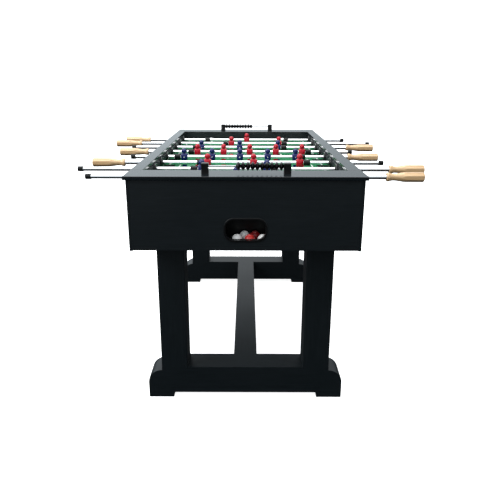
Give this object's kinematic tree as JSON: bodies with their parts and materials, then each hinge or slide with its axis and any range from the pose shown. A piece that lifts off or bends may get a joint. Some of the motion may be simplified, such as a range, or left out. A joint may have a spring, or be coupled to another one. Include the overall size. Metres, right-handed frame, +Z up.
{
  "type": "foosball table",
  "caption": "Foosball table: black cabinet on two trestles joined by a low stretcher, with player rods that slide and spin, bead scorers and ball returns.",
  "frame": {"origin": "on the floor, under the middle of the table", "axes": "+X across the table along the rods, +Y along the table away from the pictured end, +Z up"},
  "size_m": [1.3286, 1.42, 0.8974],
  "materials": {
    "black_laminate": "black satin laminate on board, fine grain",
    "raw_timber": "unfinished softwood",
    "pitch": "printed green field with white lines",
    "black_plastic": "black moulded plastic, satin",
    "grey_plastic": "dark grey nylon",
    "zinc_steel": "zinc plated steel",
    "chrome": "polished chrome plate",
    "red_team": "red moulded plastic",
    "blue_team": "navy blue moulded plastic",
    "beech": "clear lacquered pale wood",
    "rubber": "black rubber",
    "ball": "hard plastic balls, white and red",
    "bead": "black moulded plastic"
  },
  "bodies": {
    "cabinet": {"top_rails": "black_laminate", "side_panels": "black_laminate", "end_panels": "black_laminate", "goal_walls": "black_laminate", "playfield": "pitch", "playfield_battens": "raw_timber", "bottom_panel": "black_laminate", "return_trays": "black_plastic", "return_bezels": "black_plastic", "legs": "black_laminate", "feet": "black_laminate", "stretcher": "black_laminate", "trestle_bolts": "zinc_steel", "bearing_housings": "black_plastic", "bearing_nuts": "black_plastic", "scorer_posts": "black_plastic", "scorer_rods": "chrome"},
    "balls": {"balls": "ball"},
    "beads_near": {"scorer_beads_near": "bead"},
    "beads_far": {"scorer_beads_far": "bead"},
    "rod_1_bearing": {"rod_1_sleeves": "grey_plastic"},
    "rod_1": {"rod_1_shaft": "chrome", "rod_1_men": "blue_team", "rod_1_handle": "beech", "rod_1_rubbers": "rubber"},
    "rod_2_bearing": {"rod_2_sleeves": "grey_plastic"},
    "rod_2": {"rod_2_shaft": "chrome", "rod_2_men": "blue_team", "rod_2_handle": "beech", "rod_2_rubbers": "rubber"},
    "rod_3_bearing": {"rod_3_sleeves": "grey_plastic"},
    "rod_3": {"rod_3_shaft": "chrome", "rod_3_men": "red_team", "rod_3_handle": "beech", "rod_3_rubbers": "rubber"},
    "rod_4_bearing": {"rod_4_sleeves": "grey_plastic"},
    "rod_4": {"rod_4_shaft": "chrome", "rod_4_men": "blue_team", "rod_4_handle": "beech", "rod_4_rubbers": "rubber"},
    "rod_5_bearing": {"rod_5_sleeves": "grey_plastic"},
    "rod_5": {"rod_5_shaft": "chrome", "rod_5_men": "red_team", "rod_5_handle": "beech", "rod_5_rubbers": "rubber"},
    "rod_6_bearing": {"rod_6_sleeves": "grey_plastic"},
    "rod_6": {"rod_6_shaft": "chrome", "rod_6_men": "blue_team", "rod_6_handle": "beech", "rod_6_rubbers": "rubber"},
    "rod_7_bearing": {"rod_7_sleeves": "grey_plastic"},
    "rod_7": {"rod_7_shaft": "chrome", "rod_7_men": "red_team", "rod_7_handle": "beech", "rod_7_rubbers": "rubber"},
    "rod_8_bearing": {"rod_8_sleeves": "grey_plastic"},
    "rod_8": {"rod_8_shaft": "chrome", "rod_8_men": "red_team", "rod_8_handle": "beech", "rod_8_rubbers": "rubber"}
  },
  "joints": [
    {"name": "balls_roll", "type": "slide", "parent": "cabinet", "child": "balls", "axis": [1, 0, 0], "range_m": [-0.061, 0.032]},
    {"name": "score_near", "type": "slide", "parent": "cabinet", "child": "beads_near", "axis": [-1, 0, 0], "range_m": [0, 0.086]},
    {"name": "score_far", "type": "slide", "parent": "cabinet", "child": "beads_far", "axis": [1, 0, 0], "range_m": [0, 0.086]},
    {"name": "rod_1_spin", "type": "hinge", "parent": "cabinet", "child": "rod_1_bearing", "pos_m": [0, -0.517, 0.8226], "axis": [1, 0, 0], "continuous": true},
    {"name": "rod_1_slide", "type": "slide", "parent": "rod_1_bearing", "child": "rod_1", "axis": [1, 0, 0], "range_m": [-0.0765, 0.1385]},
    {"name": "rod_2_spin", "type": "hinge", "parent": "cabinet", "child": "rod_2_bearing", "pos_m": [0, -0.36929, 0.8226], "axis": [1, 0, 0], "continuous": true},
    {"name": "rod_2_slide", "type": "slide", "parent": "rod_2_bearing", "child": "rod_2", "axis": [1, 0, 0], "range_m": [-0.125, 0.211]},
    {"name": "rod_3_spin", "type": "hinge", "parent": "cabinet", "child": "rod_3_bearing", "pos_m": [0, -0.22157, 0.8226], "axis": [1, 0, 0], "continuous": true},
    {"name": "rod_3_slide", "type": "slide", "parent": "rod_3_bearing", "child": "rod_3", "axis": [1, 0, 0], "range_m": [-0.1355, 0.0735]},
    {"name": "rod_4_spin", "type": "hinge", "parent": "cabinet", "child": "rod_4_bearing", "pos_m": [0, -0.07386, 0.8226], "axis": [1, 0, 0], "continuous": true},
    {"name": "rod_4_slide", "type": "slide", "parent": "rod_4_bearing", "child": "rod_4", "axis": [1, 0, 0], "range_m": [-0.025, 0.077]},
    {"name": "rod_5_spin", "type": "hinge", "parent": "cabinet", "child": "rod_5_bearing", "pos_m": [0, 0.07386, 0.8226], "axis": [1, 0, 0], "continuous": true},
    {"name": "rod_5_slide", "type": "slide", "parent": "rod_5_bearing", "child": "rod_5", "axis": [1, 0, 0], "range_m": [-0.068, 0.034]},
    {"name": "rod_6_spin", "type": "hinge", "parent": "cabinet", "child": "rod_6_bearing", "pos_m": [0, 0.22157, 0.8226], "axis": [1, 0, 0], "continuous": true},
    {"name": "rod_6_slide", "type": "slide", "parent": "rod_6_bearing", "child": "rod_6", "axis": [1, 0, 0], "range_m": [-0.0735, 0.1355]},
    {"name": "rod_7_spin", "type": "hinge", "parent": "cabinet", "child": "rod_7_bearing", "pos_m": [0, 0.36929, 0.8226], "axis": [1, 0, 0], "continuous": true},
    {"name": "rod_7_slide", "type": "slide", "parent": "rod_7_bearing", "child": "rod_7", "axis": [1, 0, 0], "range_m": [-0.214, 0.122]},
    {"name": "rod_8_spin", "type": "hinge", "parent": "cabinet", "child": "rod_8_bearing", "pos_m": [0, 0.517, 0.8226], "axis": [1, 0, 0], "continuous": true},
    {"name": "rod_8_slide", "type": "slide", "parent": "rod_8_bearing", "child": "rod_8", "axis": [1, 0, 0], "range_m": [-0.1105, 0.1045]}
  ]
}
